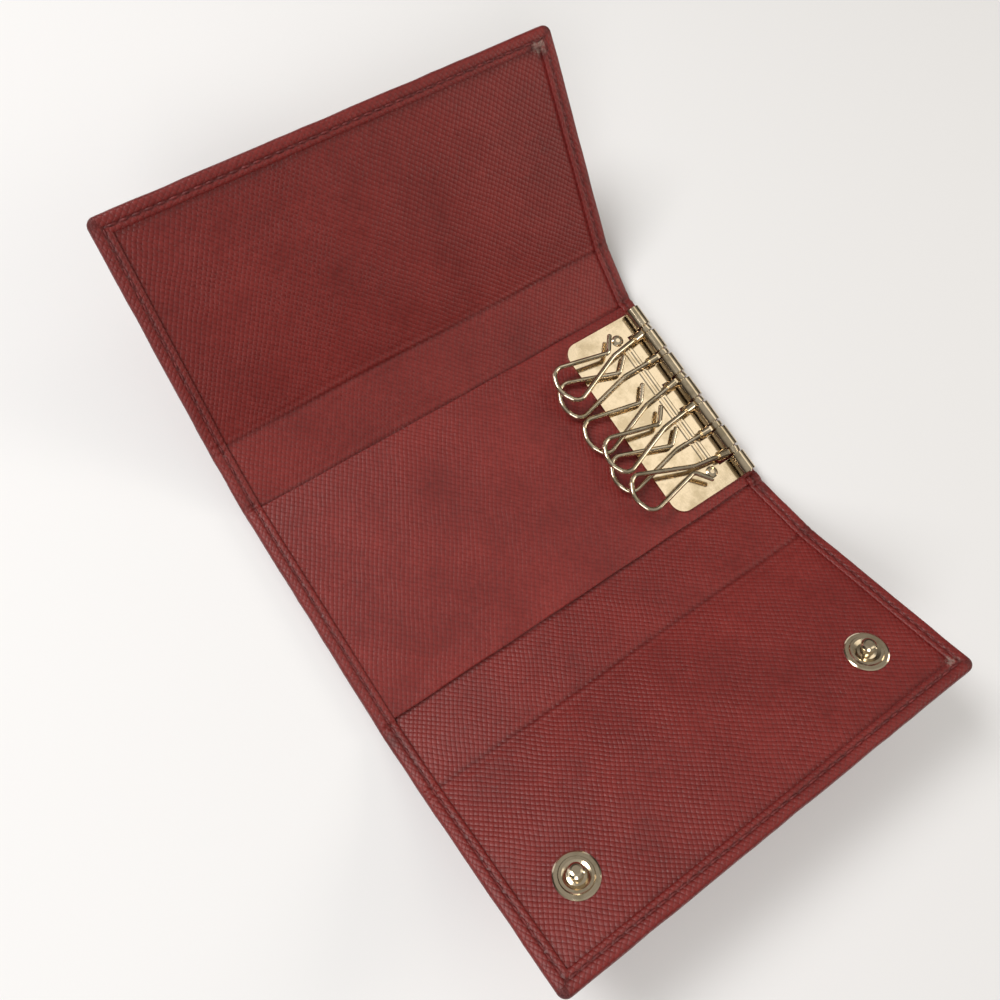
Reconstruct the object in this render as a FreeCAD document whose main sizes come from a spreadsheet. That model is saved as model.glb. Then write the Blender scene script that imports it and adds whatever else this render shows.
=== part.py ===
"""Tri-fold leather key case with a six-hook key frame, opened, inside facing up.

Millimetres. X runs along the folds, Y across them and Z up. The origin is the centre of the
underside of the middle panel, the face that the case rests on. Every leather panel is modelled
flat beside its own crease, with the crease along X, the lining's face at z = 0 and the panel
reaching out along +Y, and is then folded up into place.
"""
import FreeCAD, Part
import math
import os

import Sketcher
from FreeCAD import Placement, Rotation, Vector

SIZES = {
    # panels
    "case_length": 110.0,
    "middle_width": 55.4,
    "top_spine_width": 15.2,
    "top_flap_width": 52.8,
    "bottom_spine_width": 17.0,
    "bottom_flap_width": 47.0,
    "corner_radius": 2.5,
    # leather layers
    "cover_thickness": 0.8,
    "board_thickness": 0.4,
    "lining_thickness": 0.5,
    "pocket_thickness": 0.6,
    "pocket_slack": 0.1,
    "turned_edge": 0.6,
    "turned_width": 4.0,
    "crease_gap": 0.1,
    "turned_setback": 0.9,
    "cutter_height": 5.0,
    "frame_seat_play": 0.3,
    "board_setback": 1.5,
    # how far each fold stands open, in degrees from flat
    "top_spine_angle": 25.5,
    "top_flap_angle": 15.5,
    "bottom_spine_angle": 17.0,
    "bottom_flap_angle": 9.5,
    # key frame
    "frame_inset": 3.1,
    "plate_thickness": 0.7,
    "plate_depth": 16.7,
    "plate_near": 4.7,
    "plate_corner": 3.5,
    "barrel_radius": 2.0,
    "barrel_bore": 1.0,
    "barrel_length": 5.2,
    "barrel_pitch": 7.4,
    "barrel_count": 7,
    "curl_slot": 0.35,
    "curl_height": 0.85,
    "bead_height": 0.2,
    "bead_width": 1.1,
    "bead_length": 35.0,
    "bead_first": 5.9,
    "bead_pitch": 1.6,
    "rod_radius": 0.95,
    "rod_overhang": 0.3,
    "rivet_from_rod": 7.6,
    "rivet_spread": 20.0,
    "rivet_radius": 0.8,
    "hole_play": 0.02,
    "rivet_head_radius": 1.5,
    "rivet_head_height": 0.5,
    "washer_radius": 2.6,
    "washer_thickness": 0.3,
    # hooks and the swivels that carry them
    "swivel_width": 1.2,
    "swivel_radius": 1.65,
    "swivel_bore": 1.12,
    "collar_start": 2.35,
    "collar_end": 4.75,
    "collar_radius": 1.15,
    "cavity_start": 2.55,
    "cavity_end": 3.25,
    "cavity_radius": 0.9,
    "shank_bore": 0.65,
    "wire_radius": 0.6,
    "shank_head_radius": 0.85,
    "shank_head_thickness": 0.5,
    # snap fasteners
    "snap_from_end": 15.5,
    "snap_from_crease": 31.0,
    "snap_gap": 3.75,
    "stud_flange_radius": 4.75,
    "stud_flange_height": 0.35,
    "stud_ring_radius": 3.5,
    "stud_ring_height": 0.7,
    "stud_neck_radius": 1.35,
    "stud_head_radius": 1.65,
    "stud_height": 3.4,
    "socket_radius": 4.75,
    "socket_height": 2.95,
    "socket_bore": 2.0,
    "socket_floor": 0.2,
    "spring_wire": 0.2,
    "post_radius": 1.0,
    "post_bore": 0.6,
    "post_flange_radius": 4.0,
    "post_flange_thickness": 0.3,
    "board_hole_play": 0.1,
}

# The bent wire of a hook, from the swivel outwards: distance along the shank, sideways towards
# the gate, and the radius of the bend there.
HOOK_BENDS = (
    (3.0, 0.0, 0.0),
    (12.4, 0.0, 5.0),
    (28.6, -3.6, 2.6),
    (30.9, 1.5, 5.0),
    (27.8, 6.7, 3.0),
    (12.9, 1.35, 1.6),
    (9.3, 4.5, 0.0),
)

# How each hook lies: degrees turned sideways on the rod, degrees lifted off the plate, and which
# side its gate faces. Hooks 1, 4 and 6 lie on the hooks beside them.
HOOK_LIE = (
    (9.0, 5.5, 1),
    (0.4, -0.5, 1),
    (7.4, -0.5, 1),
    (6.2, 5.5, 1),
    (-0.5, -0.5, 1),
    (-8.4, 5.5, -1),
)

doc = FreeCAD.newDocument("key_case")
sheet = doc.addObject("Spreadsheet::Sheet", "Sizes")
finished = []


def add_row(alias, number):
    """Write one named dimension into the sheet, on the next free row."""
    SIZES[alias] = number
    row = list(SIZES).index(alias) + 1
    sheet.set(f"A{row}", alias)
    sheet.set(f"B{row}", str(number))
    sheet.setAlias(f"B{row}", alias)


def size(alias):
    """A driving dimension, as a plain number."""
    return float(sheet.get(alias))


def bind(thing, prop, formula):
    """Bind a property to a formula whose words are aliases of the sheet."""
    words = []
    for word in formula.replace("(", " ( ").replace(")", " ) ").split():
        words.append(f"Sizes.{word}" if word in SIZES else word)
    thing.setExpression(prop, " ".join(words))


def finish(thing, label, placement=None):
    """Give a sub-part its name and place, and put it on the list that is written out."""
    thing.Label = label
    if placement is not None:
        thing.Placement = placement
    finished.append(thing)
    return thing


# ---------------------------------------------------------------- sketches and features

def new_body(name):
    return doc.addObject("PartDesign::Body", name)


def origin_plane(body, role):
    return next(item for item in body.Origin.OriginFeatures if item.Role == role)


def new_sketch(body, name, role="XY_Plane", offset=None):
    """A sketch on one of the body's own origin planes. offset is a formula along its normal."""
    sketch = body.newObject("Sketcher::SketchObject", name)
    sketch.AttachmentSupport = [(origin_plane(body, role), "")]
    sketch.MapMode = "FlatFace"
    if offset:
        bind(sketch, "AttachmentOffset.Base.z", offset)
    return sketch


def dimension(sketch, kind, picks, formula):
    """Add a driving dimension to a sketch and bind it to the sheet."""
    index = sketch.addConstraint(Sketcher.Constraint(kind, *picks, 1.0))
    bind(sketch, f"Constraints[{index}]", formula)


def add_rectangle(sketch, left, right, low, high):
    """A rectangle from left to right and low to high, each a formula measured from the origin."""
    corners = (Vector(-1, 1, 0), Vector(1, 1, 0), Vector(1, 2, 0), Vector(-1, 2, 0))
    first = sketch.GeometryCount
    for index in range(4):
        sketch.addGeometry(Part.LineSegment(corners[index], corners[(index + 1) % 4]))
    for index in range(4):
        following = first + (index + 1) % 4
        sketch.addConstraint(Sketcher.Constraint("Coincident", first + index, 2, following, 1))
    for side in (0, 2):
        sketch.addConstraint(Sketcher.Constraint("Horizontal", first + side))
        sketch.addConstraint(Sketcher.Constraint("Vertical", first + side + 1))
    dimension(sketch, "DistanceX", (-1, 1, first, 1), left)
    dimension(sketch, "DistanceX", (-1, 1, first + 1, 1), right)
    dimension(sketch, "DistanceY", (-1, 1, first, 1), low)
    dimension(sketch, "DistanceY", (-1, 1, first + 2, 1), high)


def add_circle(sketch, radius, across="", along=""):
    """A circle whose centre is offset from the origin by the formulas across and along."""
    index = sketch.addGeometry(Part.Circle(Vector(0.1, 0.1, 0), Vector(0, 0, 1), 1.0))
    dimension(sketch, "Radius", (index,), radius)
    dimension(sketch, "DistanceX", (-1, 1, index, 3), across or "0")
    dimension(sketch, "DistanceY", (-1, 1, index, 3), along or "0")


def add_outline(sketch, points):
    """A closed outline of straight edges, each point a pair of formulas from the origin."""
    numbers = [Vector(evaluate(across), evaluate(along), 0) for across, along in points]
    first = sketch.GeometryCount
    count = len(points)
    for index in range(count):
        sketch.addGeometry(Part.LineSegment(numbers[index], numbers[(index + 1) % count]))
    for index in range(count):
        following = first + (index + 1) % count
        sketch.addConstraint(Sketcher.Constraint("Coincident", first + index, 2, following, 1))
    for index, (across, along) in enumerate(points):
        dimension(sketch, "DistanceX", (-1, 1, first + index, 1), across)
        dimension(sketch, "DistanceY", (-1, 1, first + index, 1), along)


def evaluate(formula):
    """The value of a formula of the sheet's aliases, for a sketch's starting shape."""
    sheet.set("D1", "=" + formula)
    doc.recompute([sheet])
    return float(sheet.get("D1"))


def pad(body, sketch, length, symmetric=False, backwards=False):
    feature = body.newObject("PartDesign::Pad", sketch.Name + "_pad")
    feature.Profile = sketch
    bind(feature, "Length", length)
    feature.SideType = "Symmetric" if symmetric else "One side"
    feature.Reversed = backwards
    return feature


def pocket(body, sketch, length, symmetric=False, backwards=False):
    feature = body.newObject("PartDesign::Pocket", sketch.Name + "_pocket")
    feature.Profile = sketch
    bind(feature, "Length", length)
    feature.SideType = "Symmetric" if symmetric else "One side"
    feature.Reversed = backwards
    return feature


def revolution(body, sketch):
    """Turn a sketch on the XZ plane a full turn about its vertical axis, the body's Z."""
    feature = body.newObject("PartDesign::Revolution", sketch.Name + "_turned")
    feature.Profile = sketch
    feature.ReferenceAxis = (sketch, ["V_Axis"])
    feature.Angle = 360.0
    return feature


def edge_feature(body, kind, name, chosen):
    """Add a Fillet or Chamfer on the edges of the body's present shape that are chosen."""
    doc.recompute()
    base = body.Tip
    names = [f"Edge{number}" for number, edge in enumerate(body.Shape.Edges, start=1) if chosen(edge)]
    feature = body.newObject(f"PartDesign::{kind}", name)
    feature.Base = (base, names)
    return feature


def is_upright(edge):
    """Whether an edge runs straight along Z."""
    box = edge.BoundBox
    return box.XLength < 1e-6 and box.YLength < 1e-6


def volume_of(body):
    doc.recompute()
    return body.Shape.Volume


def turned_body(name, points):
    """A turned part: a closed half-profile of radius and height formulas about the Z axis."""
    body = new_body(name)
    sketch = new_sketch(body, name + "_profile", "XZ_Plane")
    add_outline(sketch, points)
    revolution(body, sketch)
    return body


def group(label, members, placement=None):
    """Separate solids that share one node."""
    compound = doc.addObject("Part::Compound", label + "_group")
    compound.Links = members
    return finish(compound, label, placement)


# ---------------------------------------------------------------- leather panels

def leather_box(name, half_length, start, end, bottom, top):
    """A sheet of leather centred on X, from start to end along Y and bottom to top along Z."""
    box = doc.addObject("Part::Box", name)
    bind(box, "Length", f"2 * ( {half_length} )")
    bind(box, "Width", f"( {end} ) - ( {start} )")
    bind(box, "Height", f"( {top} ) - ( {bottom} )")
    bind(box, "Placement.Base.x", f"0 - ( {half_length} )")
    bind(box, "Placement.Base.y", start)
    bind(box, "Placement.Base.z", bottom)
    return box


def round_corners(name, source, at_y):
    """Round the two upright corners of a sheet at the given Y."""
    doc.recompute()
    fillet = doc.addObject("Part::Fillet", name)
    fillet.Base = source
    radius = size("corner_radius")
    corners = [number for number, edge in enumerate(source.Shape.Edges, start=1)
               if is_upright(edge) and edge.BoundBox.YMin > at_y - 1e-3]
    fillet.Edges = [(number, radius, radius) for number in corners]
    return fillet


HALF_CASE = "case_length / 2"
SOFT_CORE = "lining_thickness"
STIFF_CORE = "lining_thickness + board_thickness"


def cover_piece(label, width, core, placement, free_edge, mirrored_crease, notch=False):
    """The outer leather of one panel, turned over the lining all round its raw edges."""
    near = "crease_gap"
    far = width if free_edge else f"{width} - crease_gap"
    if mirrored_crease:
        near = f"0 - {width} / 2 + crease_gap"
        far = f"{width} / 2 - crease_gap"
    lip_near = near.replace("crease_gap", "turned_setback")
    lip_far = far.replace("crease_gap", "turned_setback")
    sheet_box = leather_box(label + "_sheet", HALF_CASE, near, far, f"0 - ( {core} ) - cover_thickness", "0")
    lip_height = "turned_edge + pocket_slack + pocket_thickness" if mirrored_crease else "turned_edge"
    lip_box = leather_box(label + "_turned", HALF_CASE, lip_near, lip_far, "0 - turned_edge", lip_height)
    whole = doc.addObject("Part::MultiFuse", label + "_whole")
    whole.Shapes = [sheet_box, lip_box]
    whole.Refine = True
    inner = f"{HALF_CASE} - turned_edge"
    window = f"{HALF_CASE} - turned_width"
    reach = f"{near} - 1"
    inner_far = f"{width} - turned_edge" if free_edge else f"{far} + 1"
    window_far = f"{width} - turned_width" if free_edge else f"{far} + 1"
    core_top = "pocket_slack + pocket_thickness" if mirrored_crease else "0"
    core_box = leather_box(label + "_inside", inner, reach, inner_far, f"0 - ( {core} )", core_top)
    window_box = leather_box(label + "_window", window, reach, window_far, "0 - lining_thickness",
                             "cutter_height")
    rounded = whole
    if free_edge:
        rounded = round_corners(label + "_rounded", whole, size(width))
    tools = [core_box, window_box]
    if notch:
        seat = doc.addObject("Part::Box", label + "_seat")
        bind(seat, "Length", "turned_width + 1")
        bind(seat, "Width", "6 * barrel_pitch + barrel_length + 2 * frame_seat_play")
        bind(seat, "Height", "cutter_height")
        bind(seat, "Placement.Base.x", "case_length / 2 - turned_width")
        bind(seat, "Placement.Base.y", "0 - ( 3 * barrel_pitch + barrel_length / 2 + frame_seat_play )")
        bind(seat, "Placement.Base.z", "pocket_slack + pocket_thickness")
        tools.append(seat)
    cutters = doc.addObject("Part::MultiFuse", label + "_cutters")
    cutters.Shapes = tools
    cover = doc.addObject("Part::Cut", label + "_cut")
    cover.Base = rounded
    cover.Tool = cutters
    return finish(cover, label, placement)


def plate_body(label, half_length, start, end, bottom, thickness, placement, rounded=False, holes=()):
    """A flat sheet as a padded rectangle, with round holes given as (radius, across, along)."""
    body = new_body(label)
    sketch = new_sketch(body, label + "_outline", offset=bottom)
    add_rectangle(sketch, f"0 - ( {half_length} )", half_length, start, end)
    pad(body, sketch, thickness)
    if rounded:
        doc.recompute()
        far = body.Shape.BoundBox.YMax
        fillet = edge_feature(body, "Fillet", label + "_corners",
                              lambda edge: is_upright(edge) and edge.BoundBox.YMin > far - 1e-3)
        bind(fillet, "Radius", "corner_radius - turned_edge")
    if holes:
        drill = new_sketch(body, label + "_holes", offset=f"{bottom} - 1")
        for radius, across, along in holes:
            add_circle(drill, radius, across, along)
        before = volume_of(body)
        cut = pocket(body, drill, f"{thickness} + 2", backwards=True)
        if volume_of(body) >= before:
            raise RuntimeError(f"{label}: the holes cut nothing, {cut.Name}")
    return finish(body, label, placement)


def fold(angle):
    """Turn a panel up about its crease."""
    return Placement(Vector(0, 0, 0), Rotation(Vector(1, 0, 0), angle))


def shift(across=0.0, along=0.0, up=0.0):
    return Placement(Vector(across, along, up), Rotation())


for name, number in list(SIZES.items()):
    add_row(name, number)
doc.recompute()

LINING_TOP = size("cover_thickness") + size("board_thickness") + size("lining_thickness")
POCKET_TOP = LINING_TOP + size("pocket_slack") + size("pocket_thickness")
MIDDLE = shift(up=LINING_TOP)
TURN_ROUND = Placement(Vector(0, 0, 0), Rotation(Vector(0, 0, 1), 180))


def side_placements(side):
    """Placements of the spine and flap on one side of the middle panel."""
    out = MIDDLE.multiply(shift(along=size("middle_width") / 2))
    if side == "bottom":
        out = MIDDLE.multiply(TURN_ROUND).multiply(shift(along=size("middle_width") / 2))
    spine = out.multiply(fold(size(side + "_spine_angle")))
    flap = spine.multiply(shift(along=size(side + "_spine_width"))).multiply(fold(size(side + "_flap_angle")))
    return spine, flap


def socket_distance():
    """How far the sockets sit from the top flap's crease, so that the closed studs meet them.

    Closed, both spines stand upright and both flaps lean by the same angle, which leaves the snap
    gap between the lining of the bottom flap and the outer face of the top flap.
    """
    lean = closed_lean()
    reach = size("snap_from_crease")
    across = -size("middle_width") / 2 + reach * math.cos(lean) + size("snap_gap") * math.sin(lean)
    height = size("bottom_spine_width") + reach * math.sin(lean) - size("snap_gap") * math.cos(lean)
    back = size("middle_width") / 2 - across
    down = size("top_spine_width") - height
    return back * math.cos(lean) + down * math.sin(lean)


def closed_lean():
    """The angle, in radians, that both closed flaps lean at."""
    rise = size("bottom_spine_width") - size("top_spine_width")
    low = 0.0
    high = math.radians(20)
    while high - low > 1e-9:
        lean = (low + high) / 2
        gap = rise * math.cos(lean) + size("middle_width") * math.sin(lean) - LINING_TOP
        if gap < size("snap_gap"):
            low = lean
        else:
            high = lean
    return lean


# ---------------------------------------------------------------- the leather parts

def make_middle():
    cover_piece("middle_cover", "middle_width", STIFF_CORE, MIDDLE, False, True, notch=True)
    rivet_across = "case_length / 2 - frame_inset - rivet_from_rod"
    washers = [("washer_radius + board_hole_play", rivet_across, "rivet_spread"),
               ("washer_radius + board_hole_play", rivet_across, "0 - rivet_spread")]
    shanks = [("rivet_radius + hole_play", rivet_across, "rivet_spread"),
              ("rivet_radius + hole_play", rivet_across, "0 - rivet_spread")]
    half = "middle_width / 2 - crease_gap"
    inner = f"{HALF_CASE} - turned_edge"
    board_half = "middle_width / 2 - board_setback"
    plate_body("middle_board", inner, f"0 - ( {board_half} )", board_half,
               f"0 - ( {STIFF_CORE} )", "board_thickness", MIDDLE, holes=washers)
    plate_body("middle_lining", inner, f"0 - ( {half} )", half,
               "0 - lining_thickness", "lining_thickness", MIDDLE, holes=shanks)
    pocket_half = "middle_width / 2 - 3 * crease_gap"
    plate_body("slip_pocket", inner, f"0 - ( {pocket_half} )", pocket_half,
               "pocket_slack", "pocket_thickness", MIDDLE, holes=shanks)


def make_spine(side, placement):
    width = f"{side}_spine_width"
    cover_piece(f"{side}_spine_cover", width, SOFT_CORE, placement, False, False)
    plate_body(f"{side}_spine_lining", f"{HALF_CASE} - turned_edge", "crease_gap", f"{width} - crease_gap",
               "0 - lining_thickness", "lining_thickness", placement)


def make_flap(side, placement, snap_along, lining_holes):
    """A flap: outer leather, board and lining. The board is pierced for the snap posts' flanges."""
    width = f"{side}_flap_width"
    across = f"{HALF_CASE} - snap_from_end"
    cover_piece(f"{side}_flap_cover", width, STIFF_CORE, placement, True, False)
    flanges = [("post_flange_radius + board_hole_play", across, snap_along),
               ("post_flange_radius + board_hole_play", f"0 - ( {across} )", snap_along)]
    posts = [("post_radius + hole_play", across, snap_along),
             ("post_radius + hole_play", f"0 - ( {across} )", snap_along)]
    inner = f"{HALF_CASE} - turned_edge"
    plate_body(f"{side}_flap_board", inner, "board_setback", f"{width} - turned_edge",
               f"0 - ( {STIFF_CORE} )", "board_thickness", placement, rounded=True, holes=flanges)
    plate_body(f"{side}_flap_lining", inner, "crease_gap", f"{width} - turned_edge",
               "0 - lining_thickness", "lining_thickness", placement, rounded=True,
               holes=posts if lining_holes else ())


def pierce_cover(label, placement, snap_along):
    """Two holes for the snap posts through the outer leather of a flap."""
    cover = next(item for item in finished if item.Label == label)
    finished.remove(cover)
    cover.Placement = Placement()
    drills = []
    for side in (-1, 1):
        drill = doc.addObject("Part::Cylinder", f"{label}_drill")
        bind(drill, "Radius", "post_radius + hole_play")
        bind(drill, "Height", "cover_thickness + 2")
        bind(drill, "Placement.Base.x", f"{side} * ( {HALF_CASE} - snap_from_end )")
        bind(drill, "Placement.Base.y", snap_along)
        bind(drill, "Placement.Base.z", f"0 - ( {STIFF_CORE} ) - cover_thickness - 1")
        drills.append(drill)
    both = doc.addObject("Part::MultiFuse", f"{label}_drills")
    both.Shapes = drills
    pierced = doc.addObject("Part::Cut", f"{label}_pierced")
    pierced.Base = cover
    pierced.Tool = both
    cover.Label = label + "_unpierced"
    finish(pierced, label, placement)


# ---------------------------------------------------------------- snap fasteners

def snap_pair(label, make_one, placement, along, up):
    """Two snap parts on one flap, at equal distances from its short ends."""
    members = []
    for side in (-1, 1):
        member = make_one(f"{label}_{'left' if side < 0 else 'right'}")
        member.Placement = shift(side * (size("case_length") / 2 - size("snap_from_end")), along, up)
        members.append(member)
    return group(label, members, placement)


def snap_stud(name):
    """A male stud, standing up from z = 0: flange, raised ring, neck and rounded head."""
    return turned_body(name, [
        ("0", "0"),
        ("stud_flange_radius - 0.2", "0"),
        ("stud_flange_radius", "stud_flange_height / 2"),
        ("stud_flange_radius - 0.3", "stud_flange_height"),
        ("stud_ring_radius + 0.2", "stud_flange_height"),
        ("stud_ring_radius", "stud_ring_height"),
        ("stud_ring_radius - 0.6", "stud_ring_height"),
        ("stud_neck_radius + 0.7", "stud_flange_height + 0.1"),
        ("stud_neck_radius + 0.1", "stud_flange_height + 0.2"),
        ("stud_neck_radius", "stud_height - 1.5"),
        ("stud_head_radius", "stud_height - 1.1"),
        ("stud_head_radius", "stud_height - 0.5"),
        ("stud_head_radius - 0.4", "stud_height - 0.1"),
        ("stud_head_radius - 0.8", "stud_height"),
        ("0", "stud_height"),
    ])


def stud_post(name):
    """The rivet behind a stud: its flange lies in the board at z = 0 and its shank reaches up."""
    return turned_body(name, [
        ("0", "0"),
        ("post_flange_radius", "0"),
        ("post_flange_radius", "post_flange_thickness"),
        ("post_radius", "post_flange_thickness"),
        ("post_radius", "board_thickness + lining_thickness"),
        ("0", "board_thickness + lining_thickness"),
    ])


def snap_socket(name):
    """A female socket, standing up from z = 0 with its mouth at the top."""
    return turned_body(name, [
        ("post_bore", "0"),
        ("socket_radius", "0"),
        ("socket_radius", "0.4"),
        ("socket_radius - 0.9", "0.8"),
        ("socket_radius - 1.0", "socket_height - 0.5"),
        ("socket_radius - 1.5", "socket_height"),
        ("socket_bore + 0.15", "socket_height"),
        ("socket_bore", "socket_height - 0.2"),
        ("socket_bore", "socket_height - 0.7"),
        ("socket_bore + 0.5", "socket_height - 0.8"),
        ("socket_bore + 0.5", "socket_height - 1.5"),
        ("socket_bore", "socket_height - 1.6"),
        ("socket_bore", "socket_floor"),
        ("post_bore", "socket_floor"),
    ])


def socket_post(name):
    """The tubular rivet behind a socket: a flange at z = 0 with its shank reaching down."""
    return turned_body(name, [
        ("post_bore", "0"),
        ("post_bore", "0 - board_thickness - cover_thickness"),
        ("post_radius", "0 - board_thickness - cover_thickness"),
        ("post_radius", "0 - post_flange_thickness"),
        ("post_flange_radius", "0 - post_flange_thickness"),
        ("post_flange_radius", "0"),
    ])


def socket_spring(name):
    """The round wire spring in a socket's groove, a ring about the Z axis."""
    ring = doc.addObject("Part::Torus", name)
    bind(ring, "Radius1", "socket_bore + 0.25")
    bind(ring, "Radius2", "spring_wire")
    return ring


def make_snaps(top_flap, bottom_flap, socket_along):
    board_floor = -(size("board_thickness") + size("lining_thickness"))
    snap_along = size("snap_from_crease")
    snap_pair("snap_studs", snap_stud, bottom_flap, snap_along, 0.0)
    snap_pair("stud_posts", stud_post, bottom_flap, snap_along, board_floor)
    outer_face = top_flap.multiply(Placement(Vector(0, 0, -LINING_TOP), Rotation(Vector(0, 1, 0), 180)))
    snap_pair("snap_sockets", snap_socket, outer_face, socket_along, 0.0)
    spring_height = size("socket_height") - 1.15
    snap_pair("socket_springs", socket_spring, outer_face, socket_along, spring_height)
    snap_pair("socket_posts", socket_post, top_flap, socket_along, -size("lining_thickness"))


# ---------------------------------------------------------------- key frame

def frame_placement():
    """The rod's axis is at x = 0 and the underside of the plate at z = 0."""
    return shift(size("case_length") / 2 - size("frame_inset"), 0.0, POCKET_TOP)


def make_key_frame():
    """A stamped plate with seven tongues curled round the rod, and two long beads."""
    body = new_body("key_frame")
    plate = new_sketch(body, "plate_outline")
    half = "3 * barrel_pitch + barrel_length / 2"
    add_rectangle(plate, "0 - plate_near - plate_depth", "0 - plate_near", f"0 - ( {half} )", half)
    pad(body, plate, "plate_thickness")
    doc.recompute()
    far = body.Shape.BoundBox.XMin
    corners = edge_feature(body, "Fillet", "plate_corners",
                           lambda edge: is_upright(edge) and edge.BoundBox.XMax < far + 1e-3)
    bind(corners, "Radius", "plate_corner")

    tongue = new_sketch(body, "tongue_outline")
    add_rectangle(tongue, "0 - plate_near - 1", "0", "0 - 3 * barrel_pitch - barrel_length / 2",
                  "0 - 3 * barrel_pitch + barrel_length / 2")
    tongue_pad = pad(body, tongue, "plate_thickness")
    curl = new_sketch(body, "curl_outline", "XZ_Plane", offset="3 * barrel_pitch")
    add_circle(curl, "barrel_radius", "0", "barrel_radius")
    curl_pad = pad(body, curl, "barrel_length", symmetric=True)
    doc.recompute()
    row = body.newObject("PartDesign::LinearPattern", "tongue_row")
    row.Originals = [tongue_pad, curl_pad]
    row.Direction = (plate, ["V_Axis"])
    bind(row, "Length", "barrel_pitch * ( barrel_count - 1 )")
    row.Occurrences = int(size("barrel_count"))
    body.Tip = row
    doc.recompute()

    bore = new_sketch(body, "bore_outline", "XZ_Plane")
    add_circle(bore, "barrel_bore", "0", "barrel_radius")
    pocket(body, bore, "8 * barrel_pitch", symmetric=True)
    slot = new_sketch(body, "slot_outline", "XZ_Plane")
    add_rectangle(slot, "0 - barrel_radius", "0 - barrel_bore / 2", "curl_height", "curl_height + curl_slot")
    pocket(body, slot, "8 * barrel_pitch", symmetric=True)
    for index in range(2):
        bead = new_sketch(body, f"bead_{index}", "XZ_Plane")
        centre = f"0 - bead_first - {index} * bead_pitch"
        add_outline(bead, [
            (f"{centre} - bead_width / 2", "plate_thickness"),
            (f"{centre} + bead_width / 2", "plate_thickness"),
            (f"{centre} + bead_width / 4", "plate_thickness + bead_height"),
            (f"{centre} - bead_width / 4", "plate_thickness + bead_height"),
        ])
        pad(body, bead, "bead_length", symmetric=True)
    holes = new_sketch(body, "rivet_holes", offset="0 - 1")
    for side in ("rivet_spread", "0 - rivet_spread"):
        add_circle(holes, "rivet_radius + hole_play", "0 - rivet_from_rod", side)
    before = volume_of(body)
    pocket(body, holes, "plate_thickness + 2", backwards=True)
    if volume_of(body) >= before:
        raise RuntimeError("the key frame's rivet holes cut nothing")
    finish(body, "key_frame", frame_placement())


def make_rod():
    """The plain rod through the barrels, peened a little past both ends."""
    body = new_body("key_rod")
    sketch = new_sketch(body, "rod_outline", "XZ_Plane")
    add_circle(sketch, "rod_radius", "0", "barrel_radius")
    pad(body, sketch, "6 * barrel_pitch + barrel_length + 2 * rod_overhang", symmetric=True)
    chamfer = edge_feature(body, "Chamfer", "rod_ends", lambda edge: edge.isClosed())
    bind(chamfer, "Size", "rod_overhang - 0.05")
    finish(body, "key_rod", frame_placement())


def frame_rivet(name):
    """A rivet with a low domed head on the plate and its shank down through the layers."""
    return turned_body(name, [
        ("0", "0 - rivet_depth"),
        ("rivet_radius", "0 - rivet_depth"),
        ("rivet_radius", "0"),
        ("rivet_head_radius", "0"),
        ("rivet_head_radius", "rivet_head_height * 0.3"),
        ("rivet_head_radius * 0.75", "rivet_head_height * 0.75"),
        ("rivet_head_radius * 0.35", "rivet_head_height"),
        ("0", "rivet_head_height"),
    ])


def rivet_washer(name):
    return turned_body(name, [
        ("rivet_radius + hole_play", "0"),
        ("washer_radius", "0"),
        ("washer_radius", "washer_thickness"),
        ("rivet_radius + hole_play", "washer_thickness"),
    ])


def make_rivets():
    rivets = []
    washers = []
    for side in (-1, 1):
        rivet = frame_rivet(f"frame_rivet_{side + 1}")
        rivet.Placement = shift(-size("rivet_from_rod"), side * size("rivet_spread"), size("plate_thickness"))
        rivets.append(rivet)
        washer = rivet_washer(f"rivet_washer_{side + 1}")
        washer_top = size("cover_thickness") + size("board_thickness") - POCKET_TOP
        washer_floor = washer_top - size("washer_thickness")
        washer.Placement = shift(-size("rivet_from_rod"), side * size("rivet_spread"), washer_floor)
        washers.append(washer)
    group("frame_rivets", rivets, frame_placement())
    group("rivet_washers", washers, frame_placement())


# ---------------------------------------------------------------- hooks

def hook_placement(index):
    """Where hook 1 to 6 sits on the rod. Its shank leaves along its own -X."""
    turned, lifted, _ = HOOK_LIE[index]
    along = (2.5 - index) * size("barrel_pitch")
    on_rod = frame_placement().multiply(shift(0.0, along, size("barrel_radius")))
    return on_rod.multiply(Placement(Vector(0, 0, 0), Rotation(Vector(0, 0, 1), turned))).multiply(
        Placement(Vector(0, 0, 0), Rotation(Vector(0, 1, 0), lifted)))


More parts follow.
